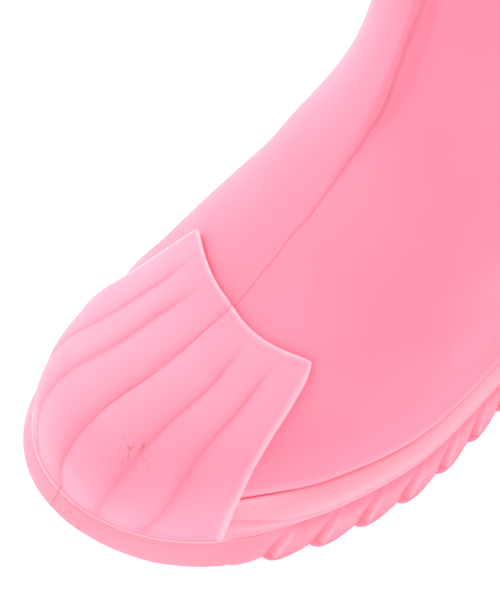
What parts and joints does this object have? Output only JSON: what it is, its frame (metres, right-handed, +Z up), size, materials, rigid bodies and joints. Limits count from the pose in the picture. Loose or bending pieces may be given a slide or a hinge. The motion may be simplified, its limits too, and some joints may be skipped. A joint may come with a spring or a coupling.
{
  "type": "rubber rain boot",
  "caption": "Left ankle-to-calf rubber rain boot with a ribbed toe cap, a toe bumper, a side rand, a lobed tread sole, a knit lining and a footbed that lifts out.",
  "frame": {"origin": "on the ground under the middle of the boot's box", "axes": "+Z up, +Y from toe to heel, +X towards the outer side of a left foot"},
  "size_m": [0.1208, 0.292, 0.25],
  "materials": {
    "upper_rubber": "matte",
    "sole_rubber": "matte",
    "knit": "matte",
    "foam": "matte",
    "fibreboard": "matte",
    "steel": "satin"
  },
  "bodies": {
    "boot": {"boot_shell": "upper_rubber", "rim_binding": "upper_rubber", "toe_cap": "upper_rubber", "toe_bumper": "sole_rubber", "side_rand": "sole_rubber", "outsole": "sole_rubber", "toe_puff": "fibreboard", "heel_counter": "fibreboard", "midsole_wedge": "foam", "shank": "steel", "insole_board": "fibreboard", "lining_sock": "knit"},
    "footbed": {"footbed": "foam"}
  },
  "joints": [
    {"name": "footbed_lift", "type": "hinge", "parent": "boot", "child": "footbed", "pos_m": [-0.0057, -0.1258, 0.0238], "axis": [1, 0, 0], "range_deg": [0, 6]}
  ]
}
